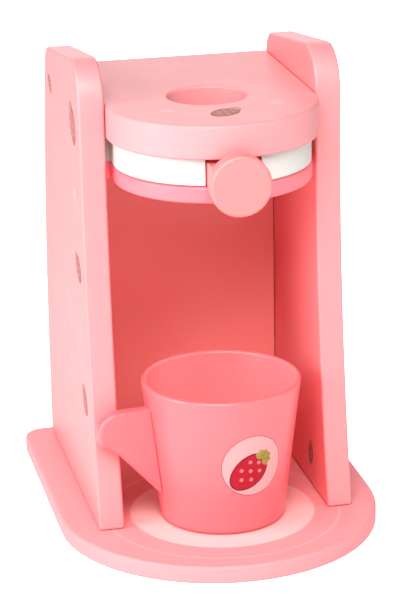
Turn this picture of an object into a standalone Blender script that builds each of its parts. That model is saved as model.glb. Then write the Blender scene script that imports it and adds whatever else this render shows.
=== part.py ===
"""Wooden toy coffee maker: a D-shaped base, two curved side boards, a layered head
with a pull-out slider, and a loose mug with a flat ear handle."""

import bpy
import bmesh
from math import atan2, cos, pi, radians, sin, sqrt, tan
from mathutils import Vector

MM = 0.001

# Clearance between pieces that lie against each other, and the overrun of a cut
GAP = 0.3 * MM
OVERRUN = 1.0 * MM
WELD = 0.001 * MM

# Base board: flat back, round front
BASE_WIDTH = 127.0 * MM
BASE_DEPTH = 163.0 * MM
BASE_THICKNESS = 7.0 * MM
BASE_CORNER_RADIUS = 9.0 * MM

# Side boards: both edges are arcs, and the front one sweeps out to the foot
BAY_WIDTH = 82.0 * MM
BOARD_THICKNESS = 10.0 * MM
FOOT_SETBACK = 45.7 * MM
HEEL_SETBACK = 2.7 * MM
FRONT_LEAN = 17.2 * MM
FRONT_RISE = 151.0 * MM
BACK_LEAN = 20.2 * MM
BACK_STRAIGHT = 30.0 * MM
TOP_FRONT_HEIGHT = 183.2 * MM
TOP_BACK_HEIGHT = 172.7 * MM
TOP_FRONT_RADIUS = 15.5 * MM
TOP_BACK_RADIUS = 9.0 * MM

# Back panel
PANEL_THICKNESS = 10.0 * MM
PANEL_SETBACK = 23.0 * MM

# Head: lower layer, white layer and top plate, from the bottom up
HEAD_CLEARANCE = 135.0 * MM
LOWER_THICKNESS = 6.6 * MM
WHITE_THICKNESS = 10.7 * MM
PLATE_THICKNESS = 12.9 * MM
PLATE_OVERHANG = 41.5 * MM
LAYER_RADIUS = 38.0 * MM
WHITE_SETBACK = 3.6 * MM
LOWER_SETBACK = 2.9 * MM
SHOULDER_SETBACK = 8.2 * MM
HOLE_DIAMETER = 30.4 * MM
HOLE_SETBACK = 7.0 * MM

# Slider and its knob
SLOT_WIDTH = 21.4 * MM
SLIDER_WIDTH = 20.2 * MM
SLIDER_HEIGHT = 9.0 * MM
SLIDER_LENGTH = 60.0 * MM
SLIDER_TRAVEL = 20.0 * MM
SLOT_END_CLEARANCE = 2.0 * MM
KNOB_DIAMETER = 23.2 * MM
KNOB_THICKNESS = 6.5 * MM
KNOB_DROP = 2.1 * MM
KNOB_CLEARANCE = 1.5 * MM
KNOB_DOWEL_DIAMETER = 5.0 * MM
KNOB_DOWEL_LENGTH = 14.0 * MM
STOP_PIN_DIAMETER = 5.0 * MM
STOP_PIN_LENGTH = 9.0 * MM
STOP_PIN_INSET = 8.0 * MM
STOP_GROOVE_DEPTH = 4.0 * MM

# Mug: a tapering cup, and an ear that points left and a little forward
MUG_SETBACK = 53.7 * MM
CUP_HEIGHT = 56.8 * MM
CUP_RIM_RADIUS = 31.2 * MM
CUP_FOOT_RADIUS = 24.6 * MM
CUP_WALL = 2.2 * MM
CUP_FLOOR = 5.0 * MM
CUP_FOOT_FILLET = 1.6 * MM
HANDLE_THICKNESS = 5.4 * MM
HANDLE_REACH = 20.0 * MM
HANDLE_DROP = 8.6 * MM
HANDLE_END_HEIGHT = 7.7 * MM
HANDLE_CORNER_RADIUS = 8.0 * MM
HANDLE_HEEL_RADIUS = 5.0 * MM
HANDLE_BEND_RADIUS = 14.0 * MM
HANDLE_ANGLE = 8.0

# Fasteners
DOWEL_DIAMETER = 6.0 * MM
DOWEL_LENGTH = 20.0 * MM
STACK_DOWEL_LENGTH = 22.0 * MM
STACK_DOWEL_SPREAD = 48.0 * MM
STACK_DOWEL_SEAT = 4.0 * MM
SCREW_LENGTH = 20.0 * MM
SCREW_DIAMETER = 3.0 * MM
SCREW_HEAD_DIAMETER = 6.0 * MM
SCREW_HEAD_HEIGHT = 2.2 * MM
SCREW_TIP = 3.0 * MM
SCREW_SINK = 0.5 * MM
DRIVE_WIDTH = 0.9 * MM
DRIVE_SPAN = 3.2 * MM
DRIVE_DEPTH = 1.2 * MM

# Eased edges
BOARD_EASE = 1.0 * MM
KNOB_EASE = 1.0 * MM
HANDLE_EASE = 1.4 * MM
SLIDER_EASE = 0.5 * MM
DOWEL_EASE = 0.6 * MM

# Places along a length, as shares of it
DOWEL_BITE_SHARE = 0.7
PLATE_DOWEL_SHARES = (0.25, 0.75)
PANEL_DOWEL_SHARES = (0.15, 0.5, 0.85)
STACK_DOWEL_SHARES = (0.21, 0.73)
BOARD_SCREW_SHARES = (0.2, 0.8)
PANEL_SCREW_SHARES = (0.25, 0.75)
HANDLE_HEEL_SHARE = 0.70
HANDLE_BEND_SHARES = (0.71, 0.565)

# How finely round shapes are divided
ARC_STEPS = 28
FILLET_STEPS = 6
EDGE_STEPS = 10
CUP_STEPS = 48
ROD_STEPS = 16
SMOOTH_ANGLE = radians(35)
FLAT_ANGLE = radians(0.05)

# Sizes that follow
BASE_FRONT = -BASE_DEPTH / 2
BASE_BACK = BASE_DEPTH / 2
BASE_TOP = BASE_THICKNESS
BOARD_BOTTOM = BASE_TOP + GAP
BOARD_X = (BAY_WIDTH + BOARD_THICKNESS) / 2
FOOT_FRONT = BASE_FRONT + FOOT_SETBACK
BOARD_FRONT = FOOT_FRONT + FRONT_LEAN
BOARD_HEEL = BASE_BACK - HEEL_SETBACK
BOARD_BACK = BOARD_HEEL - BACK_LEAN
PANEL_BACK = BASE_BACK - PANEL_SETBACK
PANEL_FRONT = PANEL_BACK - PANEL_THICKNESS
HEAD_HALF_WIDTH = BAY_WIDTH / 2 - GAP
LAYER_BACK = PANEL_FRONT - GAP
LOWER_BOTTOM = BASE_TOP + HEAD_CLEARANCE
WHITE_BOTTOM = LOWER_BOTTOM + LOWER_THICKNESS
PLATE_BOTTOM = WHITE_BOTTOM + WHITE_THICKNESS
PLATE_TOP = PLATE_BOTTOM + PLATE_THICKNESS
PLATE_FRONT = BOARD_FRONT - PLATE_OVERHANG
HOLE_Y = BOARD_FRONT + HOLE_SETBACK
LOWER_FRONT = PLATE_FRONT + LOWER_SETBACK
WHITE_FRONT = PLATE_FRONT + WHITE_SETBACK
SHOULDER_Y = BOARD_FRONT + SHOULDER_SETBACK
KNOB_BACK = PLATE_FRONT - KNOB_CLEARANCE
KNOB_FRONT = KNOB_BACK - KNOB_THICKNESS
SLIDER_FRONT = KNOB_BACK + GAP
SLIDER_BACK = SLIDER_FRONT + SLIDER_LENGTH
SLIDER_BOTTOM = WHITE_BOTTOM
SLIDER_MID = SLIDER_BOTTOM + SLIDER_HEIGHT / 2
STOP_PIN_Y = SLIDER_BACK - STOP_PIN_INSET
MUG_Y = BASE_FRONT + MUG_SETBACK
MUG_BOTTOM = BASE_TOP + GAP
CUP_TAPER = (CUP_RIM_RADIUS - CUP_FOOT_RADIUS) / CUP_HEIGHT

# Paints and metals: colour, roughness, metallic
PINK = ((0.96, 0.44, 0.46), 0.45, 0.0)
PALE_PINK = ((0.97, 0.55, 0.56), 0.45, 0.0)
CORAL = ((0.93, 0.30, 0.33), 0.40, 0.0)
ROSE = ((0.95, 0.38, 0.47), 0.45, 0.0)
WHITE = ((0.93, 0.90, 0.86), 0.50, 0.0)
BARE_WOOD = ((0.78, 0.60, 0.40), 0.70, 0.0)
STEEL = ((0.62, 0.62, 0.64), 0.35, 1.0)


def start_scene():
    """Empty the scene and make the collections and the empties that carry the bodies."""
    for old in list(bpy.data.objects):
        bpy.data.objects.remove(old)
    for name in ("toy_coffee_maker", "cutters"):
        bpy.context.scene.collection.children.link(bpy.data.collections.new(name))
    empty_at("maker_frame", (0, 0, 0))
    empty_at("slider_frame", (0, KNOB_FRONT, SLIDER_MID))
    empty_at("mug_frame", (0, MUG_Y, MUG_BOTTOM))


def empty_at(name, location):
    """Empty that carries the pieces of one moving body."""
    empty = bpy.data.objects.new(name, None)
    empty.location = location
    bpy.data.collections["toy_coffee_maker"].objects.link(empty)


def place(obj, location, rotation=(0, 0, 0), frame="maker_frame"):
    """Put a piece at a world place, as the child of its body's empty."""
    carrier = bpy.data.objects[frame]
    obj.parent = carrier
    obj.location = Vector(location) - carrier.location
    obj.rotation_euler = rotation
    return obj


def new_object(name, mesh, collection="toy_coffee_maker"):
    obj = bpy.data.objects.new(name, mesh)
    bpy.data.collections[collection].objects.link(obj)
    return obj


def finish(obj, paint):
    """Give a piece its own paint, and shade its round faces smooth."""
    colour, roughness, metallic = paint
    material = bpy.data.materials.new(obj.name + "_finish")
    material.use_nodes = True
    shader = material.node_tree.nodes["Principled BSDF"]
    shader.inputs["Base Color"].default_value = (*colour, 1.0)
    shader.inputs["Roughness"].default_value = roughness
    shader.inputs["Metallic"].default_value = metallic
    obj.data.materials.append(material)
    if obj.data.polygons:
        obj.data.shade_smooth()
        obj.data.set_sharp_from_angle(angle=SMOOTH_ANGLE)
    return obj


def ease(obj, width, segments=2):
    """Round a piece's sharp edges."""
    bevel = obj.modifiers.new("eased_edges", "BEVEL")
    bevel.width = width
    bevel.segments = segments
    bevel.limit_method = "ANGLE"
    bevel.angle_limit = SMOOTH_ANGLE
    return obj


def cut(obj, cutter):
    """Take a cutter's shape out of a piece, and keep the cutter as a wire guide."""
    cutter.hide_render = True
    cutter.display_type = "WIRE"
    boolean = obj.modifiers.new(cutter.name, "BOOLEAN")
    boolean.operation = "DIFFERENCE"
    boolean.solver = "EXACT"
    boolean.use_self = True
    boolean.object = cutter


def arc(centre_x, centre_y, radius, start, turn, steps):
    """Corners without fillets along an arc, both ends included."""
    angles = [start + turn * step / steps for step in range(steps + 1)]
    return [(centre_x + radius * cos(angle), centre_y + radius * sin(angle), 0) for angle in angles]


def rounded(corners):
    """Outline through (x, y, fillet radius) corners, with each fillet as an arc."""
    outline = []
    for index, (x, y, radius) in enumerate(corners):
        if not radius:
            outline.append((x, y))
            continue
        here = Vector((x, y))
        before = (Vector(corners[index - 1][:2]) - here).normalized()
        after = (Vector(corners[(index + 1) % len(corners)][:2]) - here).normalized()
        half_angle = before.angle(after) / 2
        centre = here + (before + after).normalized() * (radius / sin(half_angle))
        first = here + before * (radius / tan(half_angle)) - centre
        last = here + after * (radius / tan(half_angle)) - centre
        start = atan2(first.y, first.x)
        turn = (atan2(last.y, last.x) - start + pi) % (2 * pi) - pi
        outline += [point[:2] for point in arc(*centre, radius, start, turn, FILLET_STEPS)]
    return outline


def slab(name, corners, thickness, collection="toy_coffee_maker"):
    """Flat board: a filled outline in the local XY plane, half its thickness to each side."""
    outline = rounded(corners)
    curve = bpy.data.curves.new(name, "CURVE")
    curve.dimensions = "2D"
    curve.fill_mode = "BOTH"
    curve.extrude = thickness / 2
    spline = curve.splines.new("POLY")
    spline.points.add(len(outline) - 1)
    for point, (x, y) in zip(spline.points, outline):
        point.co = (x, y, 0, 1)
    spline.use_cyclic_u = True
    drawn = new_object(name + "_outline", curve, collection)
    depsgraph = bpy.context.evaluated_depsgraph_get()
    mesh = bpy.data.meshes.new_from_object(drawn.evaluated_get(depsgraph))
    bpy.data.objects.remove(drawn)
    weld_caps(mesh)
    return new_object(name, mesh, collection)


def weld_caps(mesh):
    """Join a filled curve's loose caps to its sides, and make each cap one face."""
    shape = bmesh.new()
    shape.from_mesh(mesh)
    bmesh.ops.remove_doubles(shape, verts=shape.verts, dist=WELD)
    bmesh.ops.dissolve_limit(shape, angle_limit=FLAT_ANGLE, verts=shape.verts, edges=shape.edges)
    bmesh.ops.recalc_face_normals(shape, faces=shape.faces)
    shape.to_mesh(mesh)
    shape.free()


def turned(name, profile, steps, collection="toy_coffee_maker"):
    """Solid of revolution about local Z. The (radius, height) profile runs down the outer side."""
    mesh = bpy.data.meshes.new(name)
    links = [(index, index + 1) for index in range(len(profile) - 1)]
    mesh.from_pydata([(radius, 0, height) for radius, height in profile], links, [])
    obj = new_object(name, mesh, collection)
    screw = obj.modifiers.new("turning", "SCREW")
    screw.axis = "Z"
    screw.angle = 2 * pi
    screw.steps = steps
    screw.render_steps = steps
    screw.use_merge_vertices = True
    screw.merge_threshold = WELD
    screw.use_smooth_shade = True
    return obj


def rod(name, radius, length, end_radius=None, steps=ROD_STEPS, collection="toy_coffee_maker"):
    """Round bar or cone along local Z, centred on the origin."""
    mesh = bpy.data.meshes.new(name)
    shape = bmesh.new()
    top_radius = radius if end_radius is None else end_radius
    bmesh.ops.create_cone(shape, cap_ends=True, segments=steps, radius1=radius,
                          radius2=top_radius, depth=length)
    shape.to_mesh(mesh)
    shape.free()
    return new_object(name, mesh, collection)


def block(name, width, depth, height, collection="toy_coffee_maker"):
    """Box centred on the origin."""
    mesh = bpy.data.meshes.new(name)
    shape = bmesh.new()
    bmesh.ops.create_cube(shape, size=1)
    bmesh.ops.scale(shape, vec=(width, depth, height), verts=shape.verts)
    shape.to_mesh(mesh)
    shape.free()
    return new_object(name, mesh, collection)


def along(start, end, share):
    """Place at a share of the way from start to end."""
    return start + (end - start) * share


def round_front(half_width, front, back, radius, shoulder, corner):
    """Board outline with a half-round front, straight sides and a flat back."""
    nose = arc(0, front + radius, radius, pi, pi, ARC_STEPS)
    right = [(radius, shoulder, 0), (half_width, shoulder, 0)] if shoulder else []
    left = [(-x, y, fillet) for x, y, fillet in reversed(right)]
    return nose + right + [(half_width, back, corner), (-half_width, back, corner)] + left


def side_board_corners():
    """Side view of a side board, as (depth, height) corners."""
    foot = BOARD_BOTTOM
    front_centre = BASE_TOP + FRONT_RISE
    front_radius = (FRONT_RISE ** 2 + FRONT_LEAN ** 2) / (2 * FRONT_LEAN)
    back_start = BASE_TOP + BACK_STRAIGHT
    back_rise = TOP_BACK_HEIGHT - BACK_STRAIGHT
    back_radius = (back_rise ** 2 + BACK_LEAN ** 2) / (2 * BACK_LEAN)
    front_edge = []
    back_edge = []
    for step in range(EDGE_STEPS + 1):
        z = along(foot, front_centre, step / EDGE_STEPS)
        bow = front_radius - sqrt(front_radius ** 2 - (front_centre - z) ** 2)
        front_edge.append((BOARD_FRONT - bow, z, 0))
    for step in range(EDGE_STEPS):
        z = along(back_start, BASE_TOP + TOP_BACK_HEIGHT, step / EDGE_STEPS)
        bow = back_radius - sqrt(back_radius ** 2 - (z - back_start) ** 2)
        back_edge.append((BOARD_HEEL - bow, z, 0))
    top_front = (BOARD_FRONT, BASE_TOP + TOP_FRONT_HEIGHT, TOP_FRONT_RADIUS)
    top_back = (BOARD_BACK, BASE_TOP + TOP_BACK_HEIGHT, TOP_BACK_RADIUS)
    heel = (BOARD_HEEL, foot, 0)
    return [heel] + back_edge + [top_back, top_front] + front_edge[::-1]


def screw_places():
    """Name, x and y of each base screw."""
    places = []
    for side, sign in (("left", -1), ("right", 1)):
        for end, share in zip(("front", "back"), BOARD_SCREW_SHARES):
            y = along(FOOT_FRONT, BOARD_HEEL, share)
            places.append((f"{side}_board_screw_{end}", sign * BOARD_X, y))
    for side, share in zip(("left", "right"), PANEL_SCREW_SHARES):
        x = along(-BAY_WIDTH / 2, BAY_WIDTH / 2, share)
        places.append((f"panel_screw_{side}", x, (PANEL_FRONT + PANEL_BACK) / 2))
    return places


def screw_profile(clearance):
    """Half section of a countersunk screw, tip up, with a clearance all round."""
    head = SCREW_HEAD_DIAMETER / 2 + clearance
    shank = SCREW_DIAMETER / 2 + clearance
    low = -clearance
    neck = SCREW_HEAD_HEIGHT
    tip = SCREW_LENGTH + clearance
    return [(0, tip), (shank, tip - SCREW_TIP), (shank, neck), (head, 0), (head, low), (0, low)]


def screw_cutter(name, x, y):
    """Countersunk hole for one base screw, open at the underside."""
    profile = screw_profile(GAP)
    head = SCREW_HEAD_DIAMETER / 2 + GAP
    mouth = -SCREW_SINK - OVERRUN
    cutter = turned(name, profile[:4] + [(head, mouth), (0, mouth)], ROD_STEPS, "cutters")
    return place(cutter, (x, y, SCREW_SINK))


def make_screws():
    """Countersunk screws from under the base, each with a cross drive."""
    for name, x, y in screw_places():
        screw = turned(name, [point for point in screw_profile(0) if point != (0, 0)] + [(0, 0)],
                       ROD_STEPS)
        place(screw, (x, y, SCREW_SINK))
        for arm, (width, depth) in enumerate(((DRIVE_WIDTH, DRIVE_SPAN), (DRIVE_SPAN, DRIVE_WIDTH))):
            drive = block(f"{name}_drive_{arm}", width, depth, 2 * DRIVE_DEPTH, "cutters")
            cut(screw, place(drive, (x, y, SCREW_SINK)))
        finish(screw, STEEL)


def make_base():
    """D-shaped base board with its screw holes."""
    corners = round_front(BASE_WIDTH / 2, BASE_FRONT, BASE_BACK, BASE_WIDTH / 2, None,
                          BASE_CORNER_RADIUS)
    base = ease(slab("base_board", corners, BASE_THICKNESS), BOARD_EASE)
    place(base, (0, 0, BASE_THICKNESS / 2))
    for name, x, y in screw_places():
        cut(base, screw_cutter(name + "_base_hole", x, y))
    finish(base, PINK)


def dowel_cutter(name, diameter, length, location, rotation=(0, 0, 0), frame="maker_frame"):
    """Hole for a dowel that is centred on the same place."""
    cutter = rod(name, diameter / 2 + GAP, length + 2 * GAP, collection="cutters")
    return place(cutter, location, rotation, frame)


def make_dowel(name, diameter, length, location, rotation=(0, 0, 0), frame="maker_frame"):
    """Round wooden pin with eased ends."""
    dowel = ease(rod(name, diameter / 2, length), DOWEL_EASE, 1)
    place(dowel, location, rotation, frame)
    finish(dowel, BARE_WOOD)


def side_dowel_places(sign):
    """Name, place of each dowel that ties a side board to the top plate or the back panel."""
    side = "left" if sign < 0 else "right"
    bite = BOARD_THICKNESS * DOWEL_BITE_SHARE - GAP
    x = sign * (BAY_WIDTH / 2 + bite - DOWEL_LENGTH / 2)
    places = []
    for end, share in zip(("front", "back"), PLATE_DOWEL_SHARES):
        y = along(BOARD_FRONT, PANEL_BACK, share)
        places.append((f"{side}_plate_dowel_{end}", (x, y, (PLATE_BOTTOM + PLATE_TOP) / 2)))
    for height, share in zip(("low", "middle", "high"), PANEL_DOWEL_SHARES):
        z = along(BASE_TOP, PLATE_BOTTOM, share)
        places.append((f"{side}_panel_dowel_{height}", (x, (PANEL_FRONT + PANEL_BACK) / 2, z)))
    return places


def make_side_board(side, sign):
    """Curved side board with its screw and dowel holes."""
    board = ease(slab(f"{side}_side_board", side_board_corners(), BOARD_THICKNESS), BOARD_EASE)
    place(board, (sign * BOARD_X, 0, 0), (pi / 2, 0, pi / 2))
    for name, x, y in screw_places():
        if name.startswith(side + "_board"):
            cut(board, screw_cutter(name + "_board_hole", x, y))
    for name, location in side_dowel_places(sign):
        hole = dowel_cutter(name + "_board_hole", DOWEL_DIAMETER, DOWEL_LENGTH, location,
                            (0, pi / 2, 0))
        cut(board, hole)
        make_dowel(name, DOWEL_DIAMETER, DOWEL_LENGTH, location, (0, pi / 2, 0))
    finish(board, PINK)


def make_back_panel():
    """Upright panel that closes the bay behind the mug."""
    height = PLATE_BOTTOM - BOARD_BOTTOM - GAP
    panel = block("back_panel", 2 * HEAD_HALF_WIDTH, PANEL_THICKNESS, height)
    place(panel, (0, (PANEL_FRONT + PANEL_BACK) / 2, BOARD_BOTTOM + height / 2))
    for sign in (-1, 1):
        for name, location in side_dowel_places(sign):
            if "panel" in name:
                cut(panel, dowel_cutter(name + "_panel_hole", DOWEL_DIAMETER, DOWEL_LENGTH,
                                        location, (0, pi / 2, 0)))
    for name, x, y in screw_places():
        if name.startswith("panel"):
            cut(panel, screw_cutter(name + "_panel_hole", x, y))
    finish(panel, CORAL)


def stack_dowel_places():
    """Name and place of each upright dowel through the three layers of the head."""
    z = WHITE_BOTTOM - STACK_DOWEL_SEAT + STACK_DOWEL_LENGTH / 2
    places = []
    for side, sign in (("left", -1), ("right", 1)):
        for end, share in zip(("front", "back"), STACK_DOWEL_SHARES):
            y = along(LOWER_FRONT, LAYER_BACK, share)
            places.append((f"{side}_stack_dowel_{end}", (sign * STACK_DOWEL_SPREAD / 2, y, z)))
    return places


def cut_stack_holes(board):
    for name, location in stack_dowel_places():
        cut(board, dowel_cutter(f"{name}_{board.name}_hole", DOWEL_DIAMETER, STACK_DOWEL_LENGTH,
                                location))


def make_top_plate():
    """Top of the head, with a round front and the hole for a coffee pad."""
    corners = round_front(HEAD_HALF_WIDTH, PLATE_FRONT, PANEL_BACK, HEAD_HALF_WIDTH, None, 0)
    plate = slab("top_plate", corners, PLATE_THICKNESS)
    place(plate, (0, 0, (PLATE_BOTTOM + PLATE_TOP) / 2))
    pad_hole = rod("pad_hole", HOLE_DIAMETER / 2, PLATE_THICKNESS + 2 * OVERRUN,
                   steps=3 * ROD_STEPS, collection="cutters")
    cut(plate, place(pad_hole, (0, HOLE_Y, (PLATE_BOTTOM + PLATE_TOP) / 2)))
    ease(plate, BOARD_EASE)
    for sign in (-1, 1):
        for name, location in side_dowel_places(sign):
            if "plate" in name:
                cut(plate, dowel_cutter(name + "_plate_hole", DOWEL_DIAMETER, DOWEL_LENGTH,
                                        location, (0, pi / 2, 0)))
    cut_stack_holes(plate)
    finish(plate, PALE_PINK)


def make_white_layer():
    """White layer of the head, slotted at the front for the slider."""
    corners = round_front(HEAD_HALF_WIDTH, WHITE_FRONT, LAYER_BACK, LAYER_RADIUS, SHOULDER_Y, 0)
    height = WHITE_THICKNESS - GAP
    layer = ease(slab("white_layer", corners, height), BOARD_EASE / 2)
    place(layer, (0, 0, WHITE_BOTTOM + height / 2))
    slot_end = SLIDER_BACK + SLOT_END_CLEARANCE
    slot_start = WHITE_FRONT - OVERRUN
    slot = block("slider_slot", SLOT_WIDTH, slot_end - slot_start, WHITE_THICKNESS + 2 * OVERRUN,
                 "cutters")
    cut(layer, place(slot, (0, (slot_start + slot_end) / 2, WHITE_BOTTOM + height / 2)))
    cut_stack_holes(layer)
    finish(layer, WHITE)


def make_lower_layer():
    """Lowest layer of the head, with the blind groove that the stop pin runs in."""
    corners = round_front(HEAD_HALF_WIDTH, LOWER_FRONT, LAYER_BACK, LAYER_RADIUS, SHOULDER_Y, 0)
    height = LOWER_THICKNESS - GAP
    layer = ease(slab("lower_layer", corners, height), BOARD_EASE)
    place(layer, (0, 0, LOWER_BOTTOM + height / 2))
    groove_radius = STOP_PIN_DIAMETER / 2 + GAP
    groove_corners = (arc(0, -SLIDER_TRAVEL, groove_radius, pi, pi, ROD_STEPS // 2)
                      + arc(0, 0, groove_radius, 0, pi, ROD_STEPS // 2))
    groove = slab("stop_groove", groove_corners, 2 * STOP_GROOVE_DEPTH, "cutters")
    cut(layer, place(groove, (0, STOP_PIN_Y, LOWER_BOTTOM + height)))
    cut_stack_holes(layer)
    finish(layer, ROSE)


def make_slider():
    """Pull-out slider: the block, its knob, the dowel between them and the stop pin."""
    slider = ease(block("slider_block", SLIDER_WIDTH, SLIDER_LENGTH, SLIDER_HEIGHT), SLIDER_EASE)
    place(slider, (0, (SLIDER_FRONT + SLIDER_BACK) / 2, SLIDER_MID), frame="slider_frame")
    knob = ease(rod("knob_disc", KNOB_DIAMETER / 2, KNOB_THICKNESS, steps=3 * ROD_STEPS), KNOB_EASE)
    place(knob, (0, (KNOB_FRONT + KNOB_BACK) / 2, SLIDER_MID - KNOB_DROP), (pi / 2, 0, 0),
          "slider_frame")
    dowel_y = KNOB_BACK - KNOB_THICKNESS * DOWEL_BITE_SHARE + KNOB_DOWEL_LENGTH / 2
    dowel_at = (0, dowel_y, SLIDER_MID)
    for piece in (slider, knob):
        cut(piece, dowel_cutter(f"knob_dowel_{piece.name}_hole", KNOB_DOWEL_DIAMETER,
                                KNOB_DOWEL_LENGTH, dowel_at, (pi / 2, 0, 0), "slider_frame"))
    pin_at = (0, STOP_PIN_Y, WHITE_BOTTOM - STOP_GROOVE_DEPTH + STOP_PIN_LENGTH / 2)
    cut(slider, dowel_cutter("stop_pin_hole", STOP_PIN_DIAMETER, STOP_PIN_LENGTH, pin_at,
                             frame="slider_frame"))
    make_dowel("knob_dowel", KNOB_DOWEL_DIAMETER, KNOB_DOWEL_LENGTH, dowel_at, (pi / 2, 0, 0),
               "slider_frame")
    make_dowel("stop_pin", STOP_PIN_DIAMETER, STOP_PIN_LENGTH, pin_at, frame="slider_frame")
    finish(slider, PALE_PINK)
    finish(knob, PINK)


def cup_profile():
    """Half section of the cup, from the inner floor over the rim to the foot."""
    floor_radius = CUP_FOOT_RADIUS + CUP_TAPER * CUP_FLOOR - CUP_WALL
    lip = CUP_WALL / 2
    inside = [(0, CUP_FLOOR), (floor_radius - lip, CUP_FLOOR), (floor_radius, CUP_FLOOR + lip)]
    lip_centre = (CUP_RIM_RADIUS - lip, CUP_HEIGHT - lip)
    rim = arc(*lip_centre, lip, pi, -pi, FILLET_STEPS)
    foot = CUP_FOOT_FILLET
    heel = arc(CUP_FOOT_RADIUS - foot, foot, foot, 0, -pi / 2, FILLET_STEPS // 2)
    return inside + [point[:2] for point in rim + heel] + [(0, 0)]


def handle_corners():
    """Ear outline as (distance from the mug's axis, height) corners."""
    reach = CUP_RIM_RADIUS + HANDLE_REACH
    top = CUP_HEIGHT - HANDLE_DROP
    root = CUP_FOOT_RADIUS - CUP_WALL
    heel = along(HANDLE_END_HEIGHT, top, HANDLE_HEEL_SHARE)
    bend_x = along(root, reach, HANDLE_BEND_SHARES[0])
    bend_z = along(HANDLE_END_HEIGHT, top, HANDLE_BEND_SHARES[1])
    return [(root, top, 0), (root, HANDLE_END_HEIGHT, 0), (bend_x, bend_z, HANDLE_BEND_RADIUS),
            (reach, heel, HANDLE_HEEL_RADIUS), (reach, top, HANDLE_CORNER_RADIUS)]


def make_mug():
    """Loose mug: the turned cup, and the ear shaped to its wall."""
    mug_at = (0, MUG_Y, MUG_BOTTOM)
    cup = place(turned("mug_cup", cup_profile(), CUP_STEPS), mug_at, frame="mug_frame")
    handle = slab("mug_handle", handle_corners(), HANDLE_THICKNESS)
    ease(handle, HANDLE_EASE, 3)
    place(handle, mug_at, (pi / 2, 0, pi + radians(HANDLE_ANGLE)), "mug_frame")
    wall = rod("cup_wall_cutter", CUP_FOOT_RADIUS + GAP, CUP_HEIGHT, CUP_RIM_RADIUS + GAP,
               CUP_STEPS, "cutters")
    place(wall, (0, MUG_Y, MUG_BOTTOM + CUP_HEIGHT / 2), frame="mug_frame")
    cut(handle, wall)
    finish(cup, CORAL)
    finish(handle, CORAL)


def main():
    start_scene()
    make_base()
    make_side_board("left", -1)
    make_side_board("right", 1)
    make_back_panel()
    make_top_plate()
    make_white_layer()
    make_lower_layer()
    for name, location in stack_dowel_places():
        make_dowel(name, DOWEL_DIAMETER, STACK_DOWEL_LENGTH, location)
    make_slider()
    make_mug()
    make_screws()


main()
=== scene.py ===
"""Painted wooden toy coffee maker: paints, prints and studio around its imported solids.

Run it as a script in Blender. Each operator paints or makes one group of pieces, and
the panel in the 3D view's sidebar lists them with the sizes and colours they take.
"""

from math import cos, pi, radians, sin, sqrt

import bmesh
import bpy
from bpy.props import FloatProperty, FloatVectorProperty, PointerProperty
from mathutils import Matrix, Vector


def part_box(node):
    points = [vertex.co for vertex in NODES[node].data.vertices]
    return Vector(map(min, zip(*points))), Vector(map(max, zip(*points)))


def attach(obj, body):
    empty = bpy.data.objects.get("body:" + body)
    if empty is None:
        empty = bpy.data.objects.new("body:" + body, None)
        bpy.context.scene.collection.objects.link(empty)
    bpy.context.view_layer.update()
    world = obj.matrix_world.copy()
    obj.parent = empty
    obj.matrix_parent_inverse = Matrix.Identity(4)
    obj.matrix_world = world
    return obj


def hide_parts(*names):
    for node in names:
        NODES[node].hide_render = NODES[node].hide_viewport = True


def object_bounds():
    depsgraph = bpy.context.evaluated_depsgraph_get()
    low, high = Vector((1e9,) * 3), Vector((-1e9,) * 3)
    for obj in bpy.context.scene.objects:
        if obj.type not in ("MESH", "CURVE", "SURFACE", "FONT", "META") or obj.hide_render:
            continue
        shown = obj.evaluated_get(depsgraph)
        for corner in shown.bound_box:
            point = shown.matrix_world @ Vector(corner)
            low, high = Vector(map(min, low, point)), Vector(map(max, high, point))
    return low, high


bl_info = {
    "name": "Toy Coffee Maker",
    "version": (1, 0, 0),
    "blender": (4, 5, 0),
    "location": "View3D > Sidebar > Coffee Maker",
    "description": "Paints, prints and studio for a wooden toy coffee maker",
    "category": "Object",
}

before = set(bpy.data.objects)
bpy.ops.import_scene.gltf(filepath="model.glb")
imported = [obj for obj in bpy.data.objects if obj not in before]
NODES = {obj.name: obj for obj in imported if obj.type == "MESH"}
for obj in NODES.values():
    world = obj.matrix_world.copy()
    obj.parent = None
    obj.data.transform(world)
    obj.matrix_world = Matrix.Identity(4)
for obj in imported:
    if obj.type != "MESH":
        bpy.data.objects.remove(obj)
CAD_LOW, CAD_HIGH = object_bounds()

MM = 0.001

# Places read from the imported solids
BASE_LOW, BASE_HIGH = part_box("base_board")
CUP_LOW, CUP_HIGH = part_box("mug_cup")
PLATE_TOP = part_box("top_plate")[1].z
LEFT_LOW, LEFT_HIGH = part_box("left_side_board")
RIGHT_LOW, RIGHT_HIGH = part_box("right_side_board")
CUP_AXIS = (CUP_LOW + CUP_HIGH) / 2
CUP_HEIGHT = CUP_HIGH.z - CUP_LOW.z
CUP_RIM_RADIUS = (CUP_HIGH.x - CUP_LOW.x) / 2

# Sizes of the cup that its box doesn't hold, as in the part's source
CUP_FOOT_RADIUS = 24.6 * MM
CUP_HALF_WALL = 1.1 * MM

# Rings on the base: their middle, behind the base's front edge, and how strongly the line shows
RING_SETBACK = 54.6 * MM
RING_CENTRE = Vector((0, BASE_LOW.y + RING_SETBACK, 0))
LINE_STRENGTH = 0.35

# Camera: where it stands, what it looks at, and how the frame sits on the lens
CAMERA_AZIMUTH = radians(12.55)
CAMERA_ELEVATION = radians(19.28)
CAMERA_ROLL = radians(-0.94)
CAMERA_DISTANCE = 963.9 * MM
CAMERA_TARGET = Vector((0, -15.72 * MM, 74.96 * MM))
FRAME_HEIGHT = 614
FOCAL_PIXELS = 2457.58
SENSOR = 36.0
SHIFT_X = -0.0217
SHIFT_Y = 0.0528

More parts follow.
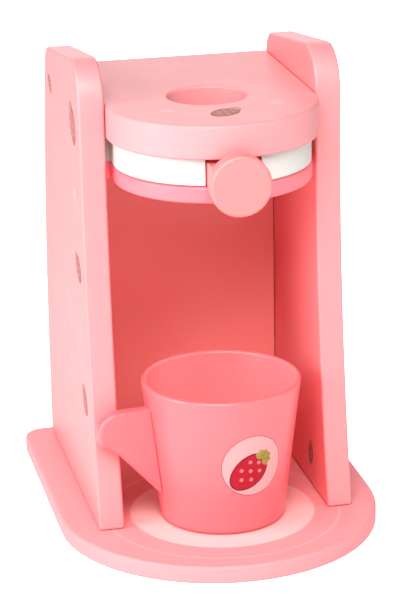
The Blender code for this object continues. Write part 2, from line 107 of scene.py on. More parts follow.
# Prints: how far each coat stands off the paint, and how finely a figure is divided
COAT = 0.04 * MM
FIRST_COAT = 0.02 * MM
FINE = (7, 56)
COARSE = (2, 14)

# One berry, drawn lying along its length, as shares of that length
BERRY_WIDTH_SHARE = 0.72
BERRY_TAPER_SHARE = 0.08
OUTLINE_SHARE = 1.09
SEED_SHARE = 0.095
SEED_SHARES = ((0.05, 0.0), (0.33, 0.0), (0.20, 0.18), (-0.09, 0.18), (-0.25, 0.0),
               (-0.09, -0.18), (0.20, -0.18))
LEAF_LENGTH_SHARE = 0.24
LEAF_WIDTH_SHARE = 0.17
LEAF_ROOT_SHARE = 0.47
LEAF_ANGLES = (-98, -60, -20, 20, 60, 98)
LEAF_COAT_STEP = 0.25

# Badge on the cup: place along the wall and above the foot, and its berry within it
BADGE_RADIUS = 12.8 * MM
BADGE_RIM = 0.35 * MM
BADGE_AT = (6.14 * MM, 29.15 * MM)
BADGE_BERRY_LENGTH = 16.4 * MM
BADGE_BERRY_AT = (4.4 * MM, 26.5 * MM)
BADGE_BERRY_TURN = radians(42)

# Prints on the side boards, as shares of the board's depth and height, with a size and a turn
BOARD_BERRY_SHARES = ((0.731, 0.881), (0.272, 0.857), (0.249, 0.544), (0.207, 0.250))
BOARD_BERRY_LENGTHS = (7.6 * MM, 14.3 * MM, 11.0 * MM, 11.0 * MM)
BOARD_BERRY_TURNS = (radians(35), radians(57), radians(42), radians(50))
BOARD_DOT_SHARES = ((0.275, 0.705), (0.245, 0.389))
INNER_BERRY_SHARES = (0.224, 0.073)
INNER_BERRY_LENGTH = 8.5 * MM
INNER_BERRY_TURN = radians(95)
DOT_RADIUS = 3.0 * MM

# Prints on the top plate
PLATE_BERRY_AT = (0.3 * MM, -40.4 * MM)
PLATE_BERRY_LENGTH = 12.2 * MM
PLATE_BERRY_TURN = radians(41)
PLATE_DOTS = ((-19.5 * MM, -31.9 * MM), (22.3 * MM, -31.4 * MM))

# Merging and smoothing of the copies that carry the paint
WELD = 0.001 * MM
SHARP_ANGLE = radians(50)

# Fineness of each pattern in the finishes, as a noise scale
CLOUD_SCALE = 22
WEAR_SCALE = 90
SPRAY_SCALE = 1400
FIBRE_SCALE = 420
MUG_CLOUD_SCALE = 30
LATHE_SCALE = 1100
HANDLED_SCALE = 60
BEECH_SCALE = 700
SCRATCH_SCALE = 2400
INK_PATCH_SCALE = 500
INK_GRAIN_SCALE = 2200

# Which way a board's grain runs, as a squeeze of the noise along it
GRAIN_UP = (1, 1, 0.12)
GRAIN_BACK = (1, 0.12, 1)
GRAIN_ACROSS = (0.12, 1, 1)

# Colour sockets of Blender's mix node, which have no names of their own
MIX_FIRST, MIX_SECOND, MIX_RESULT = 6, 7, 2

# Studio: the floor, and each light's name, setting, place and size
FLOOR_DROP = 0.1 * MM
FLOOR_SIZE = 6.0
LIGHTS = (("key_light", "key", (-0.25, -0.85, 0.95), 0.80),
          ("left_light", "side", (-1.00, -0.25, 0.45), 0.70),
          ("right_light", "right", (0.90, -0.60, 0.55), 0.70),
          ("back_light", "back", (0.20, 1.60, 0.50), 1.00),
          ("rim_light", "rim", (-0.25, 0.90, 1.10), 0.90))


class MakerPaints(bpy.types.PropertyGroup):
    """Paint colours of the wooden pieces."""

    board: FloatVectorProperty(
        name="Boards", description="Satin paint of the side boards",
        subtype="COLOR", size=3, min=0, max=1, default=(0.92, 0.228, 0.237))
    base: FloatVectorProperty(
        name="Base", description="Duller paint of the base",
        subtype="COLOR", size=3, min=0, max=1, default=(0.76, 0.252, 0.264))
    # Partly own paint, partly painted sheen: the red is lowered below the boards' pink so the whole
    # plate shows the grey that sheen gives its top.
    plate: FloatVectorProperty(
        name="Top plate", description="Paler satin paint of the top plate",
        subtype="COLOR", size=3, min=0, max=1, default=(0.66, 0.248, 0.256))
    panel: FloatVectorProperty(
        name="Back panel", description="Satin paint of the back panel",
        subtype="COLOR", size=3, min=0, max=1, default=(0.96, 0.274, 0.253))
    lower: FloatVectorProperty(
        name="Lower layer", description="Rose paint of the head's lowest layer",
        subtype="COLOR", size=3, min=0, max=1, default=(0.92, 0.150, 0.181))
    layer: FloatVectorProperty(
        name="White layer", description="Warm white paint of the layer under the top plate",
        subtype="COLOR", size=3, min=0, max=1, default=(0.56, 0.535, 0.500))
    knob: FloatVectorProperty(
        name="Knob", description="Salmon paint of the knob and slider",
        subtype="COLOR", size=3, min=0, max=1, default=(0.92, 0.188, 0.185))
    mug: FloatVectorProperty(
        name="Mug", description="Coral lacquer of the mug",
        subtype="COLOR", size=3, min=0, max=1, default=(0.95, 0.130, 0.145))
    # Painted light: the mug's own lacquer, painted paler inside the cup to lift the shade that falls
    # there.
    mug_inside_painted_light: FloatVectorProperty(
        name="Mug inside", description="Slightly paler lacquer inside the mug",
        subtype="COLOR", size=3, min=0, max=1, default=(0.95, 0.200, 0.210))
    wood: FloatVectorProperty(
        name="Bare wood", description="Unpainted beech of the dowels",
        subtype="COLOR", size=3, min=0, max=1, default=(0.62, 0.42, 0.25))
    steel: FloatVectorProperty(
        name="Screws", description="Zinc plate of the screws",
        subtype="COLOR", size=3, min=0, max=1, default=(0.60, 0.61, 0.64))


class MakerPrints(bpy.types.PropertyGroup):
    """Sizes and colours of the prints on the paint."""

    ring_inner: FloatProperty(
        name="Ring inside", description="Inner radius of the pale ring round the mug",
        subtype="DISTANCE", unit="LENGTH", default=24.5 * MM)
    ring_inner_blur: FloatProperty(
        name="Ring inner edge", description="Width over which the ring fades in near the mug",
        subtype="DISTANCE", unit="LENGTH", default=3.0 * MM)
    ring_outer: FloatProperty(
        name="Ring outside", description="Outer radius of the pale ring round the mug",
        subtype="DISTANCE", unit="LENGTH", default=36.5 * MM)
    ring_outer_blur: FloatProperty(
        name="Ring outer edge", description="Width over which the ring fades out",
        subtype="DISTANCE", unit="LENGTH", default=1.5 * MM)
    line_radius: FloatProperty(
        name="Line", description="Radius of the thin pale line outside the ring",
        subtype="DISTANCE", unit="LENGTH", default=46.4 * MM)
    line_width: FloatProperty(
        name="Line width", description="Width of the thin pale line",
        subtype="DISTANCE", unit="LENGTH", default=1.0 * MM)
    ring: FloatVectorProperty(
        name="Ring", description="Pale pink of the ring and line on the base",
        subtype="COLOR", size=3, min=0, max=1, default=(0.86, 0.43, 0.42))
    board_dot: FloatVectorProperty(
        name="Board dots", description="Pale pink of the dots on the side boards",
        subtype="COLOR", size=3, min=0, max=1, default=(0.90, 0.34, 0.33))
    plate_dot: FloatVectorProperty(
        name="Plate dots", description="Paler pink of the dots on the top plate",
        subtype="COLOR", size=3, min=0, max=1, default=(0.72, 0.36, 0.35))
    badge: FloatVectorProperty(
        name="Badge", description="Pale pink of the badge on the mug",
        subtype="COLOR", size=3, min=0, max=1, default=(0.90, 0.30, 0.30))
    berry: FloatVectorProperty(
        name="Badge berry", description="Red of the berry on the mug",
        subtype="COLOR", size=3, min=0, max=1, default=(0.36, 0.006, 0.018))
    outline: FloatVectorProperty(
        name="Berry outline", description="Dark red line round the berry on the mug",
        subtype="COLOR", size=3, min=0, max=1, default=(0.16, 0.012, 0.030))
    badge_rim: FloatVectorProperty(
        name="Badge rim", description="Mauve line round the badge",
        subtype="COLOR", size=3, min=0, max=1, default=(0.22, 0.085, 0.105))
    seed: FloatVectorProperty(
        name="Seeds", description="Pale pink of the berry's seeds",
        subtype="COLOR", size=3, min=0, max=1, default=(0.80, 0.15, 0.15))
    leaf: FloatVectorProperty(
        name="Leaves", description="Olive green of the berry's leaves",
        subtype="COLOR", size=3, min=0, max=1, default=(0.28, 0.21, 0.04))
    # Inks of the berries on the boards and the top plate: printed colours with painted sheen, each
    # washed toward the pink paint to stand in for the sheen seen over them at a glancing view.
    berry_print_and_painted_sheen: FloatVectorProperty(
        name="Board berries", description="Dull rose of the berries on the boards",
        subtype="COLOR", size=3, min=0, max=1, default=(0.34, 0.130, 0.125))
    outline_print_and_painted_sheen: FloatVectorProperty(
        name="Board berry outline", description="Dark rose line round the berries on the boards",
        subtype="COLOR", size=3, min=0, max=1, default=(0.28, 0.110, 0.110))
    seed_print_and_painted_sheen: FloatVectorProperty(
        name="Board berry seeds", description="Pale rose of those berries' seeds",
        subtype="COLOR", size=3, min=0, max=1, default=(0.55, 0.26, 0.25))
    leaf_print_and_painted_sheen: FloatVectorProperty(
        name="Board berry leaves", description="Dull olive of those berries' leaves",
        subtype="COLOR", size=3, min=0, max=1, default=(0.45, 0.21, 0.17))


class MakerStudio(bpy.types.PropertyGroup):
    """Lights and surroundings."""

    surround: FloatProperty(
        name="Surround", description="Strength of the even white light from all round",
        min=0, default=0.03)
    key: FloatProperty(
        name="Key light", description="Power of the soft light above the front",
        subtype="POWER", unit="POWER", min=0, default=22.0)
    side: FloatProperty(
        name="Left light", description="Power of the soft light at the left",
        subtype="POWER", unit="POWER", min=0, default=14.0)
    right: FloatProperty(
        name="Right light", description="Power of the soft light at the right",
        subtype="POWER", unit="POWER", min=0, default=6.0)
    back: FloatProperty(
        name="Back light", description="Power of the white board that the tops mirror",
        subtype="POWER", unit="POWER", min=0, default=5.5)
    rim: FloatProperty(
        name="Rim light", description="Power of the soft light high behind the toy",
        subtype="POWER", unit="POWER", min=0, default=1.8)
    floor_white: FloatProperty(
        name="Floor white", description="How white the table shows to the camera alone",
        min=0, default=1.2)


def settings(group):
    """One of this scene's property groups."""
    return getattr(bpy.context.scene, group)


def new_material(name):
    """Material with its node tree, its shader and its links."""
    material = bpy.data.materials.new(name)
    material.use_nodes = True
    tree = material.node_tree
    return material, tree, tree.nodes["Principled BSDF"]


def object_point(tree, scale=(1, 1, 1), centre=(0, 0, 0)):
    """Object coordinates about a centre, stretched by a scale."""
    place = tree.nodes.new("ShaderNodeTexCoord")
    mapping = tree.nodes.new("ShaderNodeMapping")
    mapping.vector_type = "POINT"
    mapping.inputs["Scale"].default_value = scale
    mapping.inputs["Location"].default_value = [-c * s for c, s in zip(centre, scale)]
    tree.links.new(place.outputs["Object"], mapping.inputs["Vector"])
    return mapping.outputs["Vector"]


def noise(tree, point, scale, detail=2.0):
    """Noise value at a point."""
    texture = tree.nodes.new("ShaderNodeTexNoise")
    texture.inputs["Scale"].default_value = scale
    texture.inputs["Detail"].default_value = detail
    tree.links.new(point, texture.inputs["Vector"])
    return texture.outputs["Fac"]


def ranged(tree, value, start, end, low, high, smooth=False):
    """Value moved from the range start to end into the range low to high."""
    mapped = tree.nodes.new("ShaderNodeMapRange")
    mapped.interpolation_type = "SMOOTHSTEP" if smooth else "LINEAR"
    for socket, number in (("From Min", start), ("From Max", end), ("To Min", low), ("To Max", high)):
        mapped.inputs[socket].default_value = number
    tree.links.new(value, mapped.inputs["Value"])
    return mapped.outputs["Result"]


def blended(tree, factor, first, second):
    """Colour between two others. Each is a colour or another node's output."""
    mix = tree.nodes.new("ShaderNodeMix")
    mix.data_type = "RGBA"
    tree.links.new(factor, mix.inputs["Factor"])
    for socket, colour in ((mix.inputs[MIX_FIRST], first), (mix.inputs[MIX_SECOND], second)):
        if isinstance(colour, bpy.types.NodeSocket):
            tree.links.new(colour, socket)
        else:
            socket.default_value = (*colour, 1)
    return mix.outputs[MIX_RESULT]


def combined(tree, operation, first, second):
    """Result of a sum on two node outputs, or on an output and a number."""
    maths = tree.nodes.new("ShaderNodeMath")
    maths.operation = operation
    tree.links.new(first, maths.inputs[0])
    if isinstance(second, bpy.types.NodeSocket):
        tree.links.new(second, maths.inputs[1])
    else:
        maths.inputs[1].default_value = second
    return maths.outputs["Value"]


def from_axis(tree, centre):
    """Distance from the upright axis through a centre."""
    length = tree.nodes.new("ShaderNodeVectorMath")
    length.operation = "LENGTH"
    tree.links.new(object_point(tree, (1, 1, 0), centre), length.inputs[0])
    return length.outputs["Value"]


def height_of(tree):
    """Height above the table."""
    parts = tree.nodes.new("ShaderNodeSeparateXYZ")
    tree.links.new(object_point(tree), parts.inputs["Vector"])
    return parts.outputs["Z"]


def raised(tree, shader, height, strength, distance):
    """Let a height value raise the surface."""
    bump = tree.nodes.new("ShaderNodeBump")
    bump.inputs["Strength"].default_value = strength
    bump.inputs["Distance"].default_value = distance
    tree.links.new(height, bump.inputs["Height"])
    tree.links.new(bump.outputs["Normal"], shader.inputs["Normal"])


def tinted(colour, share):
    """Colour made lighter or darker by a share."""
    return [min(1.0, channel * share) for channel in colour]


def satin_paint(name, colour, grain=GRAIN_UP, roughness=0.44, coat=0.08, sheen=0.5):
    """Sprayed satin paint: faint clouding, spray texture, and the board's grain under it."""
    material, tree, shader = new_material(name)
    clouds = noise(tree, object_point(tree), CLOUD_SCALE, 3)
    colours = blended(tree, ranged(tree, clouds, 0.3, 0.7, 0, 1), tinted(colour, 0.985),
                      tinted(colour, 1.015))
    tree.links.new(colours, shader.inputs["Base Color"])
    worn = noise(tree, object_point(tree), WEAR_SCALE, 2)
    tree.links.new(ranged(tree, worn, 0.3, 0.7, roughness - 0.02, roughness + 0.02),
                   shader.inputs["Roughness"])
    spray = noise(tree, object_point(tree), SPRAY_SCALE, 2)
    fibres = noise(tree, object_point(tree, grain), FIBRE_SCALE, 3)
    raised(tree, shader, combined(tree, "ADD", spray, combined(tree, "MULTIPLY", fibres, 0.8)),
           0.05, 0.1 * MM)
    shader.inputs["Specular IOR Level"].default_value = sheen
    shader.inputs["Coat Weight"].default_value = coat
    shader.inputs["Coat Roughness"].default_value = 0.28
    return material


def ringed_paint(name, colour):
    """The base's dull paint, with the pale ring and the thin line printed round the mug."""
    prints = settings("maker_prints")
    material = satin_paint(name, colour, GRAIN_BACK, roughness=0.55, coat=0.0, sheen=0.25)
    tree = material.node_tree
    shader = tree.nodes["Principled BSDF"]
    painted = shader.inputs["Base Color"].links[0].from_socket
    radius = from_axis(tree, RING_CENTRE)
    edges = []
    for edge, blur, ends in ((prints.ring_inner, prints.ring_inner_blur / 2, (0, 1)),
                             (prints.ring_outer, prints.ring_outer_blur / 2, (1, 0))):
        edges.append(ranged(tree, radius, edge - blur, edge + blur, *ends, True))
    ring = combined(tree, "MULTIPLY", *edges)
    offset = combined(tree, "ABSOLUTE", combined(tree, "SUBTRACT", radius, prints.line_radius), 0)
    half, blur = prints.line_width / 2, prints.line_width / 4
    line = ranged(tree, offset, half - blur, half + blur, LINE_STRENGTH, 0, True)
    top_only = combined(tree, "GREATER_THAN", height_of(tree), BASE_HIGH.z - MM)
    printed = combined(tree, "MULTIPLY", combined(tree, "MAXIMUM", ring, line), top_only)
    tree.links.new(blended(tree, printed, painted, prints.ring), shader.inputs["Base Color"])
    return material


def mug_lacquer(name, colour, inside):
    """Smooth lacquer over turned wood: faint lathe rings, a soft gloss, and painted light inside the
    cup, where the inner wall is painted paler to lift the shade that falls there.
    """
    material, tree, shader = new_material(name)
    clouds = noise(tree, object_point(tree), MUG_CLOUD_SCALE, 3)
    # Painted light: within the inner wall and above the inner floor the paler inside colour is used,
    # lifting the shade inside the cup.
    middle = ranged(tree, height_of(tree), CUP_LOW.z, CUP_HIGH.z, CUP_FOOT_RADIUS - CUP_HALF_WALL,
                    CUP_RIM_RADIUS - CUP_HALF_WALL)
    within = combined(tree, "LESS_THAN", from_axis(tree, CUP_AXIS), middle)
    above = combined(tree, "GREATER_THAN", height_of(tree), CUP_LOW.z + 2 * CUP_HALF_WALL)
    painted_light_in_cup = combined(tree, "MULTIPLY", within, above)
    dark, light = (blended(tree, painted_light_in_cup, tinted(colour, share), tinted(inside, share))
                   for share in (0.97, 1.03))
    tree.links.new(blended(tree, ranged(tree, clouds, 0.3, 0.7, 0, 1), dark, light),
                   shader.inputs["Base Color"])
    lathed = noise(tree, object_point(tree, (0.05, 0.05, 1)), LATHE_SCALE, 2)
    raised(tree, shader, lathed, 0.08, 0.08 * MM)
    handled = noise(tree, object_point(tree), HANDLED_SCALE, 2)
    tree.links.new(ranged(tree, handled, 0.3, 0.7, 0.34, 0.42), shader.inputs["Roughness"])
    shader.inputs["Coat Weight"].default_value = 0.2
    shader.inputs["Coat Roughness"].default_value = 0.22
    return material


def beech(name, colour):
    """Bare beech with short dark flecks along the grain."""
    material, tree, shader = new_material(name)
    flecks = noise(tree, object_point(tree, (0.15, 1, 1)), BEECH_SCALE, 4)
    tree.links.new(blended(tree, ranged(tree, flecks, 0.35, 0.65, 0, 1), tinted(colour, 0.72),
                           tinted(colour, 1.12)), shader.inputs["Base Color"])
    raised(tree, shader, flecks, 0.2, 0.1 * MM)
    shader.inputs["Roughness"].default_value = 0.68
    return material


def zinc(name, colour):
    """Zinc-plated steel with fine scratches."""
    material, tree, shader = new_material(name)
    scratches = noise(tree, object_point(tree, (1, 0.08, 1)), SCRATCH_SCALE, 3)
    tree.links.new(blended(tree, scratches, tinted(colour, 0.8), tinted(colour, 1.15)),
                   shader.inputs["Base Color"])
    tree.links.new(ranged(tree, scratches, 0.3, 0.7, 0.26, 0.42), shader.inputs["Roughness"])
    shader.inputs["Metallic"].default_value = 1.0
    return material


def ink(name, colour, mottle=0.06):
    """Screen-printed ink: a little uneven, and duller than the paint."""
    material, tree, shader = new_material(name)
    patches = noise(tree, object_point(tree), INK_PATCH_SCALE, 3)
    tree.links.new(blended(tree, ranged(tree, patches, 0.3, 0.7, 0, 1), tinted(colour, 1 - mottle),
                           tinted(colour, 1 + mottle)), shader.inputs["Base Color"])
    raised(tree, shader, noise(tree, object_point(tree), INK_GRAIN_SCALE, 2), 0.06, 0.05 * MM)
    shader.inputs["Roughness"].default_value = 0.62
    shader.inputs["Specular IOR Level"].default_value = 0.2
    return material


def painted(node, material, slot, body):
    """Smooth-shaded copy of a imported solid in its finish, which stands for that solid."""
    shape = bmesh.new()
    shape.from_mesh(NODES[node].data)
    bmesh.ops.remove_doubles(shape, verts=shape.verts, dist=WELD)
    for face in shape.faces:
        face.smooth = True
    for edge in shape.edges:
        edge.smooth = len(edge.link_faces) == 2 and edge.calc_face_angle() < SHARP_ANGLE
    mesh = bpy.data.meshes.new(node + "_painted")
    shape.to_mesh(mesh)
    shape.free()
    mesh.materials.append(material)
    piece = bpy.data.objects.new(node + "_painted", mesh)
    bpy.context.scene.collection.objects.link(piece)
    weighted = piece.modifiers.new("flat_faces_stay_flat", "WEIGHTED_NORMAL")
    weighted.keep_sharp = True
    weighted.weight = 90
    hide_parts(node)
    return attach(piece, body)


def coated(node, material):
    """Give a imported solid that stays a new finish."""
    NODES[node].data.materials.clear()
    NODES[node].data.materials.append(material)


def unit_disc(rings, steps):
    """Closed disc of radius one and thickness one, spun from its half section."""
    disc = bmesh.new()
    section = [disc.verts.new((ring / rings, 0, 1)) for ring in range(rings + 1)]
    section += [disc.verts.new((ring / rings, 0, 0)) for ring in range(rings, -1, -1)]
    lines = [disc.edges.new(pair) for pair in zip(section, section[1:])]
    bmesh.ops.spin(disc, geom=section + lines, cent=(0, 0, 0), axis=(0, 0, 1), angle=2 * pi,
                   steps=steps, use_merge=True)
    bmesh.ops.remove_doubles(disc, verts=disc.verts, dist=WELD)
    bmesh.ops.recalc_face_normals(disc, faces=disc.faces)
    return disc


def turned(u, v, at, turn):
    """Point u and v away from a place, turned about it."""
    return at[0] + u * cos(turn) - v * sin(turn), at[1] + u * sin(turn) + v * cos(turn)


def figure(form, at, turn=0.0, coat=0):
    """Way from the unit disc to one printed figure: its form, then its turn, place and coat."""
    def placed(point):
        low = FIRST_COAT + coat * COAT
        return (*turned(*form(point.x, point.y), at, turn), low + point.z * COAT)
    return placed


def egg(length, width, taper=0.0):
    """Oval that is wider towards its far end by the taper."""
    return lambda x, y: (x * length / 2, y * width / 2 * (1 + taper * x))


def leaf_blade(length, width):
    """Blade with a point at both ends, from its root at zero."""
    return lambda x, y: ((x + 1) * length / 2, y * width / 2 * sqrt(max(0.0, 1 - x * x)))


def make_print(name, figures, material, body):
    """One piece of ink from its figures, each with the surface that it lies on."""
    whole = bmesh.new()
    for placed, surface, fineness in figures:
        disc = unit_disc(*fineness)
        for vert in disc.verts:
            vert.co = surface(*placed(vert.co))
        bmesh.ops.recalc_face_normals(disc, faces=disc.faces)
        mesh = bpy.data.meshes.new(name + "_figure")
        disc.to_mesh(mesh)
        disc.free()
        whole.from_mesh(mesh)
        bpy.data.meshes.remove(mesh)
    mesh = bpy.data.meshes.new(name)
    whole.to_mesh(mesh)
    whole.free()
    mesh.materials.append(material)
    piece = bpy.data.objects.new(name, mesh)
    bpy.context.scene.collection.objects.link(piece)
    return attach(piece, body)


def berry_figures(length, at, turn, surface, coat):
    """Outline, flesh, seeds and leaves of one berry."""
    width = length * BERRY_WIDTH_SHARE

    def inside(share_u, share_v):
        return turned(share_u * length, share_v * length, at, turn)

    rim = figure(egg(length * OUTLINE_SHARE, width * OUTLINE_SHARE, BERRY_TAPER_SHARE), at, turn, coat)
    flesh = figure(egg(length, width, BERRY_TAPER_SHARE), at, turn, coat + 1)
    seed = egg(length * SEED_SHARE, length * SEED_SHARE)
    blade = leaf_blade(length * LEAF_LENGTH_SHARE, length * LEAF_WIDTH_SHARE)
    seeds = [(figure(seed, inside(*place), turn, coat + 2), surface, COARSE) for place in SEED_SHARES]
    leaves = [(figure(blade, inside(LEAF_ROOT_SHARE, 0), turn + radians(angle),
                      coat + 3 + index * LEAF_COAT_STEP), surface, COARSE)
              for index, angle in enumerate(LEAF_ANGLES)]
    return {"outline": [(rim, surface, FINE)], "flesh": [(flesh, surface, FINE)], "seeds": seeds,
            "leaves": leaves}


def on_cup(along, height, out):
    """Point on the cup's side, from its distance along the wall, height and distance outwards."""
    radius = CUP_FOOT_RADIUS + (CUP_RIM_RADIUS - CUP_FOOT_RADIUS) * height / CUP_HEIGHT
    angle = along / radius
    return Vector((CUP_AXIS.x + (radius + out) * sin(angle), CUP_AXIS.y - (radius + out) * cos(angle),
                   CUP_LOW.z + height))


def on_plate(along, back, out):
    """Point on the top plate."""
    return Vector((along, back, PLATE_TOP + out))


def beside(x, outwards):
    """Surface of a side board at x, facing left or right."""
    return lambda back, up, out: Vector((x + outwards * out, back, up))


def on_board(shares):
    """Depth and height on a side board from shares of its box."""
    return tuple(LEFT_LOW[axis] + share * (LEFT_HIGH[axis] - LEFT_LOW[axis])
                 for axis, share in zip((1, 2), shares))


class MAKER_OT_paint_boards(bpy.types.Operator):
    """Paint the base, the side boards and the back panel"""

    bl_idname = "coffee_maker.paint_boards"
    bl_label = "Paint boards"

    def execute(self, context):
        paints = settings("maker_paints")
        board = satin_paint("pink_satin", paints.board)
        painted("base_board", ringed_paint("ringed_pink_paint", paints.base), "pink_paint", "maker")
        painted("left_side_board", board, "pink_paint", "maker")
        painted("right_side_board", board, "pink_paint", "maker")
        coated("back_panel", satin_paint("coral_satin", paints.panel))
        return {"FINISHED"}


class MAKER_OT_paint_head(bpy.types.Operator):
    """Paint the three layers of the head"""

    bl_idname = "coffee_maker.paint_head"
    bl_label = "Paint head"

    def execute(self, context):
        paints = settings("maker_paints")
        # Painted sheen: the plate's paint carries the grey of the sheen on its top in its colour.
        pale = satin_paint("pale_pink_satin", paints.plate, GRAIN_ACROSS, coat=0.04, sheen=0.35)
        painted("top_plate", pale, "pale_pink_paint", "maker")
        painted("white_layer", satin_paint("white_satin", paints.layer, GRAIN_ACROSS),
                "white_paint", "maker")
        painted("lower_layer", satin_paint("rose_satin", paints.lower, GRAIN_ACROSS),
                "rose_paint", "maker")
        return {"FINISHED"}


class MAKER_OT_paint_slider(bpy.types.Operator):
    """Paint the pull-out slider and its knob"""

    bl_idname = "coffee_maker.paint_slider"
    bl_label = "Paint slider"

    def execute(self, context):
        salmon = satin_paint("salmon_satin", settings("maker_paints").knob, GRAIN_ACROSS)
        painted("slider_block", salmon, "pale_pink_paint", "slider")
        painted("knob_disc", salmon, "pale_pink_paint", "slider")
        return {"FINISHED"}


class MAKER_OT_finish_hardware(bpy.types.Operator):
    """Finish the dowels, the stop pin and the screws"""

    bl_idname = "coffee_maker.finish_hardware"
    bl_label = "Finish hardware"

    def execute(self, context):
        paints = settings("maker_paints")
        wood = beech("bare_beech", paints.wood)
        steel = zinc("zinc_plate", paints.steel)
        for node in sorted(NODES):
            if "dowel" in node or "pin" in node:
                coated(node, wood)
            elif "screw" in node:
                coated(node, steel)
        return {"FINISHED"}


class MAKER_OT_lacquer_mug(bpy.types.Operator):
    """Lacquer the cup and its ear"""

    bl_idname = "coffee_maker.lacquer_mug"
    bl_label = "Lacquer mug"

    def execute(self, context):
        paints = settings("maker_paints")
        lacquer = mug_lacquer("coral_lacquer", paints.mug, paints.mug_inside_painted_light)
        painted("mug_cup", lacquer, "mug_paint", "mug")
        painted("mug_handle", lacquer, "mug_paint", "mug")
        return {"FINISHED"}


class MAKER_OT_print_badge(bpy.types.Operator):
    """Print the round badge and its berry on the cup"""

    bl_idname = "coffee_maker.print_badge"
    bl_label = "Print badge"

    def execute(self, context):
        prints = settings("maker_prints")
        inner = BADGE_RADIUS - BADGE_RIM
        rim = figure(egg(2 * BADGE_RADIUS, 2 * BADGE_RADIUS), BADGE_AT)
        disc = figure(egg(2 * inner, 2 * inner), BADGE_AT, coat=1)
        make_print("badge_rim", [(rim, on_cup, FINE)], ink("rim_ink", prints.badge_rim), "mug")
        make_print("badge_ground", [(disc, on_cup, FINE)], ink("pale_ink", prints.badge, 0.02), "mug")
        berry = berry_figures(BADGE_BERRY_LENGTH, BADGE_BERRY_AT, BADGE_BERRY_TURN, on_cup, 2)
        inks = {"outline": ink("dark_red_ink", prints.outline), "flesh": ink("red_ink", prints.berry),
                "seeds": ink("seed_ink", prints.seed, 0.02),
                "leaves": ink("leaf_ink", prints.leaf, 0.2)}
        for part, figures in berry.items():
            make_print("badge_berry_" + part, figures, inks[part], "mug")
        return {"FINISHED"}


class MAKER_OT_print_boards(bpy.types.Operator):
    """Print the berries and dots on the side boards and the top plate"""

    bl_idname = "coffee_maker.print_boards"
    bl_label = "Print boards"

    def execute(self, context):
        prints = settings("maker_prints")
        left = beside(LEFT_LOW.x, -1)
        right = beside(RIGHT_HIGH.x, 1)
        inner = beside(RIGHT_LOW.x, -1)
        berries = [berry_figures(PLATE_BERRY_LENGTH, PLATE_BERRY_AT, PLATE_BERRY_TURN, on_plate, 0),
                   berry_figures(INNER_BERRY_LENGTH, on_board(INNER_BERRY_SHARES),
                                 INNER_BERRY_TURN, inner, 0)]
        dots = []
        for side in (left, right):
            for shares, length, turn in zip(BOARD_BERRY_SHARES, BOARD_BERRY_LENGTHS,
                                            BOARD_BERRY_TURNS):
                berries.append(berry_figures(length, on_board(shares), turn, side, 0))
            dots += [(on_board(shares), side) for shares in BOARD_DOT_SHARES]
        # Painted sheen: these inks are the printed berry colours washed pale and dull, standing in for
        # the sheen over the prints.
        inks = {"outline": ink("dull_dark_ink", prints.outline_print_and_painted_sheen),
                "flesh": ink("dull_red_ink", prints.berry_print_and_painted_sheen),
                "seeds": ink("dull_seed_ink", prints.seed_print_and_painted_sheen, 0.02),
                "leaves": ink("dull_leaf_ink", prints.leaf_print_and_painted_sheen, 0.1)}
        for part, finish in inks.items():
            make_print("board_berry_" + part, [f for berry in berries for f in berry[part]],
                       finish, "maker")
        round_dot = egg(2 * DOT_RADIUS, 2 * DOT_RADIUS)
        make_print("board_dots", [(figure(round_dot, place), side, COARSE) for place, side in dots],
                   ink("dot_ink", prints.board_dot, 0.02), "maker")
        make_print("plate_dots", [(figure(round_dot, place), on_plate, COARSE) for place in PLATE_DOTS],
                   ink("pale_dot_ink", prints.plate_dot, 0.02), "maker")
        return {"FINISHED"}


class MAKER_OT_set_camera(bpy.types.Operator):
    """Stand the camera at the left front, a little above the toy"""

    bl_idname = "coffee_maker.set_camera"
    bl_label = "Set camera"

    def execute(self, context):
        data = bpy.data.cameras.new("camera")
        data.sensor_width = SENSOR
        data.lens = FOCAL_PIXELS * SENSOR / FRAME_HEIGHT
        data.shift_x = SHIFT_X
        data.shift_y = SHIFT_Y
        camera = bpy.data.objects.new("camera", data)
        context.scene.collection.objects.link(camera)
        back = Vector((-sin(CAMERA_AZIMUTH) * cos(CAMERA_ELEVATION),
                       -cos(CAMERA_AZIMUTH) * cos(CAMERA_ELEVATION), sin(CAMERA_ELEVATION)))
        right = (-back).cross(Vector((0, 0, 1))).normalized()
        up = back.cross(right)
        turned_right = right * cos(CAMERA_ROLL) + up * sin(CAMERA_ROLL)
        turned_up = up * cos(CAMERA_ROLL) - right * sin(CAMERA_ROLL)
        turn = Matrix((turned_right, turned_up, back)).transposed().to_4x4()
        camera.matrix_world = Matrix.Translation(CAMERA_TARGET + back * CAMERA_DISTANCE) @ turn
        context.scene.camera = camera
        return {"FINISHED"}


def soft_light(name, place, size, power, target):
    """Square area light that faces a target."""
    data = bpy.data.lights.new(name, "AREA")
    data.shape = "SQUARE"
    data.size = size
    data.energy = power
    light = bpy.data.objects.new(name, data)
    light.location = place
    light.rotation_euler = (Vector(place) - target).to_track_quat("Z", "Y").to_euler()
    bpy.context.scene.collection.objects.link(light)


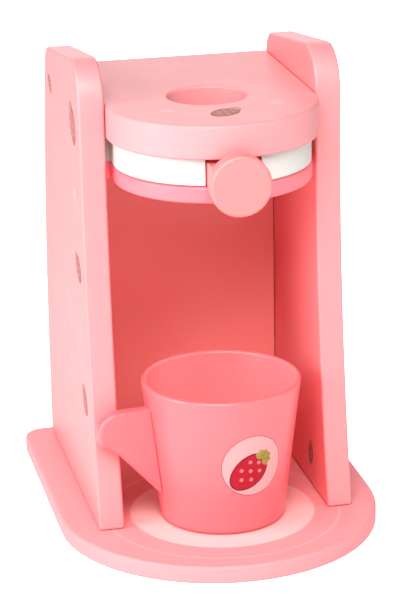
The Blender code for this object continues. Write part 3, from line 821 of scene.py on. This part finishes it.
class MAKER_OT_set_stage(bpy.types.Operator):
    """Lay the white floor and set the lights"""

    bl_idname = "coffee_maker.set_stage"
    bl_label = "Set stage"

    def execute(self, context):
        studio = settings("maker_studio")
        shape = bmesh.new()
        bmesh.ops.create_grid(shape, x_segments=1, y_segments=1, size=FLOOR_SIZE / 2)
        bmesh.ops.translate(shape, vec=(0, 0, BASE_LOW.z - FLOOR_DROP), verts=shape.verts)
        mesh = bpy.data.meshes.new("floor")
        shape.to_mesh(mesh)
        shape.free()
        material, tree, shader = new_material("white_table")
        shader.inputs["Base Color"].default_value = (0.95, 0.95, 0.95, 1)
        shader.inputs["Roughness"].default_value = 0.8
        shader.inputs["Emission Color"].default_value = (1, 1, 1, 1)
        ray = tree.nodes.new("ShaderNodeLightPath")
        shown = combined(tree, "MULTIPLY", ray.outputs["Is Camera Ray"], studio.floor_white)
        tree.links.new(shown, shader.inputs["Emission Strength"])
        mesh.materials.append(material)
        floor = bpy.data.objects.new("floor", mesh)
        context.scene.collection.objects.link(floor)
        middle = (CAD_LOW + CAD_HIGH) / 2
        for name, power, place, size in LIGHTS:
            soft_light(name, place, size, getattr(studio, power), middle)
        world = bpy.data.worlds.new("white_room")
        world.use_nodes = True
        ground = world.node_tree.nodes["Background"]
        ground.inputs["Color"].default_value = (1, 1, 1, 1)
        ray = world.node_tree.nodes.new("ShaderNodeLightPath")
        seen = combined(world.node_tree, "MAXIMUM", ray.outputs["Is Camera Ray"], studio.surround)
        world.node_tree.links.new(seen, ground.inputs["Strength"])
        context.scene.world = world
        context.scene.view_settings.view_transform = "Standard"
        return {"FINISHED"}


GROUPS = {"maker_paints": MakerPaints, "maker_prints": MakerPrints, "maker_studio": MakerStudio}
OPERATORS = (MAKER_OT_set_camera, MAKER_OT_paint_boards, MAKER_OT_paint_head, MAKER_OT_paint_slider,
             MAKER_OT_finish_hardware, MAKER_OT_lacquer_mug, MAKER_OT_print_badge,
             MAKER_OT_print_boards, MAKER_OT_set_stage)


class MAKER_PT_panel(bpy.types.Panel):
    """Lists the operators and the settings they take"""

    bl_idname = "MAKER_PT_panel"
    bl_label = "Toy coffee maker"
    bl_space_type = "VIEW_3D"
    bl_region_type = "UI"
    bl_category = "Coffee Maker"

    def draw(self, context):
        for operator in OPERATORS:
            self.layout.operator(operator.bl_idname)
        for group, kind in GROUPS.items():
            box = self.layout.box()
            for name in kind.__annotations__:
                box.prop(getattr(context.scene, group), name)


CLASSES = (*GROUPS.values(), *OPERATORS, MAKER_PT_panel)


def register():
    """Add the classes and the scene's settings."""
    for cls in CLASSES:
        bpy.utils.register_class(cls)
    for group, kind in GROUPS.items():
        setattr(bpy.types.Scene, group, PointerProperty(type=kind))


def unregister():
    """Take the scene's settings and the classes away again."""
    for group in GROUPS:
        delattr(bpy.types.Scene, group)
    for cls in reversed(CLASSES):
        bpy.utils.unregister_class(cls)


def main():
    """Register the add-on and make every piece."""
    register()
    for operator in OPERATORS:
        family, name = operator.bl_idname.split(".")
        if getattr(getattr(bpy.ops, family), name)() != {"FINISHED"}:
            raise RuntimeError(operator.bl_label + " did not finish")


if __name__ == "__main__":
    main()
